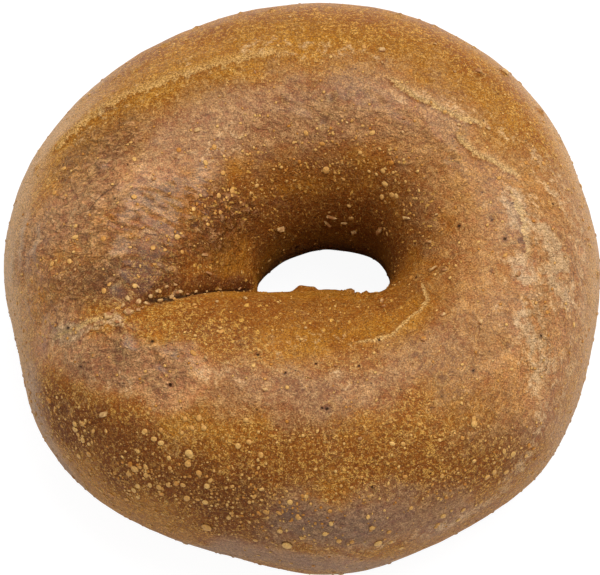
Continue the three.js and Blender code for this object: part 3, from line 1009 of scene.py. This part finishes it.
def sunken_marks(s, p, ground, surface):
    """Darker brown dents with a pale edge, and pits darkened as painted shade. It also gives where the pits
    are.
    """
    pits = 0
    for *pixel, width in PITS:
        away = p.uneven(s.away_from(surface.at(pixel)[0]), mottle=1.4 * width)
        pits = pits + s.band(away, width * 0.62, width * 0.25)
    dent = p.uneven(p.sunken, mottle=1.1, blotches=0.9)
    edge = s.band(dent, 0.2, 0.35) * s.band(dent, 0.55, 0.35) * 0.35
    ground = s.layer(ground, (edge, PALE), (s.band(dent, 0.4, 1.1) * 0.6, SUNKEN), (pits * 0.9, DARK))
    return ground, pits


def crust_finish(surface):
    s = Shader("toasted crust")
    p = CrustPatterns(s)
    ground = skin_marks(s, p, baked_ground(s, p))
    ground, depth = line_marks(s, p, ground)
    ground, pits = sunken_marks(s, p, ground, surface)
    # Painted reflection: a pale rim where the surface turns away from the eye.
    turned_away = s.node("ShaderNodeLayerWeight", inputs={"Blend": 0.5}, output="Facing")
    begins = p.rim * -0.22 + 0.58
    ground = s.mix(s.band(turned_away, begins, begins + 0.42) * p.rim * 0.6, ground, RIM_REFLECTION)
    grains = s.mix(s.band(p.grain, 0.36, 0.64), DARKER_GRAIN, LIGHTER_GRAIN)
    colour = s.mix(s.band(p.bloomed_sheen, 0.2, 1.0, 1.0, 0.9), ground, grains, "MULTIPLY")

    height = p.grain * 0.26 + p.mottle * 0.32 + p.blotches * 0.7 + p.streaks * 0.3 + p.specks * 0.1
    height = height + p.wrinkles * -0.06 + p.folds * s.band(p.wrinkled, 0.0, 1.0, 0.2, 1.6)
    height = height + s.band(p.folds, 0.44, 0.56) * s.band(p.wrinkled, 0.0, 1.0, 0.03, 0.55)
    height = height + s.band(p.blotches, 0.46, 0.54) * p.bloomed_sheen * 0.1 + p.curled * 0.07
    height = height + depth + pits * -0.4 + p.dimples * -0.2
    roughness = s.band(p.grain * 0.5 + p.blotches * 0.5 + p.toast * 0.2, 0.35, 0.75, 0.38, 0.7)
    sheen = s.band(p.bloomed_sheen * 0.4 + p.wrinkled * 0.6, 0.0, 1.0, 0.06, 0.45) * s.band(pits, 1.0, 0.0)
    gloss = {"Specular IOR Level": 0.15, "Coat Weight": sheen, "Coat Roughness": 0.24}
    return s.finish(colour, roughness, s.bump(height), **gloss)


def blister_finish():
    s = Shader("blistered skin")
    grain = s.noise(0.3, detail=3, roughness=0.7)
    skin = s.mix(s.attribute("paleness"), BLISTER_BROWNED, BLISTER_PALE)
    # Painted shade: dark round each blister's foot.
    colour = s.mix(s.band(s.attribute("rise"), 0.0, 0.6), BLISTER_FOOT_SHADE, skin)
    colour = s.scaled(colour, s.band(grain, 0.3, 0.7, 0.75, 1.2))
    return s.finish(colour, 0.42, s.bump(grain * 0.08), **{"Specular IOR Level": 0.2})


def flake_finish():
    s = Shader("wheat bran")
    streaks = s.noise(0.5, detail=4, roughness=0.7)
    darkened = s.mix(s.band(s.noise(1.5, detail=2), 0.45, 0.6), BRAN_PALE, BRAN_BROWNED)
    colour = s.mix(s.band(streaks, 0.35, 0.65, 0.0, 0.8), darkened, BRAN_STREAK)
    return s.finish(colour, 0.6, s.bump(streaks * 0.1))


# ---- Stage ----
def make_sheet(name, level, whiteness, glow, shadow_radius=0.0):
    """A wide level sheet of white card, a little lit from within, and black within a radius of the hole as
    painted shadow.
    """
    half = 3.0
    corners = [(-half, -half, level), (half, -half, level), (half, half, level), (-half, half, level)]
    mesh = make_mesh(name, corners, [(0, 1, 2, 3)])
    s = Shader(name)
    fleck = s.noise(3, detail=3)
    shaded, white = ((grey, grey, grey, 1) for grey in (whiteness * 0.94, whiteness))
    away = s.away_from((HOLE_AXIS.x, HOLE_AXIS.y, level))
    is_outside = s.band(away, shadow_radius * 0.8, shadow_radius * 1.2 + 0.01)
    colour = s.mix(is_outside, BLACK, s.mix(fleck, shaded, white))
    light = {"Emission Color": s.mix(is_outside, BLACK, WHITE), "Emission Strength": glow}
    mesh.materials.append(s.finish(colour, 0.9, s.bump(fleck * 0.02), **light))
    return add_object(name, mesh)


def make_table():
    """The white table, whose glow isn't cast on the dough, and an unseen sheet that lights it from below."""
    table = make_sheet("table", level=0.0, whiteness=0.14, glow=0.94)
    table.visible_diffuse = table.visible_glossy = table.visible_shadow = False
    # Black under the hole as painted shadow, so no light comes up into it.
    bounce = make_sheet("bounce", level=-0.5 * MM, whiteness=0.8, glow=0.12, shadow_radius=32)
    bounce.visible_camera = False
    return table, bounce


def make_softbox(width, depth, place, brightness):
    """A sheet of light that hangs over the table and faces the bagel."""
    data = bpy.data.lights.new("softbox", "AREA")
    data.shape = "RECTANGLE"
    data.size = width
    data.size_y = depth
    data.energy = brightness * math.pi * width * depth
    softbox = add_object("softbox", data)
    softbox.location = place
    softbox.rotation_euler = Vector(place).to_track_quat("Z", "Y").to_euler()


def make_world(strength):
    world = bpy.data.worlds.new("studio")
    world.use_nodes = True
    background = world.node_tree.nodes["Background"]
    background.inputs["Color"].default_value = WHITE
    background.inputs["Strength"].default_value = strength
    SCENE.world = world


# ---- The scene ----
camera = make_camera()
crust = make_crust(frame["nodes"]["bagel"], camera)
surface = Surface(BVHTree.FromObject(crust, bpy.context.evaluated_depsgraph_get()), camera)
crust.data.materials.append(crust_finish(surface))

skin = blister_finish()
large_dome = blister_shape("large_dome", sides=9, rings=3)
small_dome = blister_shape("small_dome", sides=6, rings=2)
large_tree = scatter_tree("large blisters", large_dome, skin)
small_tree = scatter_tree("small blisters", small_dome, skin)
large_blisters = scatter("large_blisters", crust, large_tree, LARGE_BLISTERS, seed=3)
small_blisters = scatter("small_blisters", crust, small_tree, SMALL_BLISTERS, seed=8)
named_blisters = place_blisters("named_blisters", surface, large_dome, skin)
for dome in (large_dome, small_dome):
    bpy.data.objects.remove(dome)
flakes = make_flakes(surface, flake_finish())

table, bounce = make_table()
make_softbox(width=1.0, depth=0.8, place=(0.24, 0.3, 0.96), brightness=4.0)
make_world(strength=0.42)
SCENE.view_settings.view_transform = "Standard"

# ---- Hand over ----
for piece in (crust, named_blisters, large_blisters, small_blisters, flakes):
    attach(piece, "root")
    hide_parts("bagel")
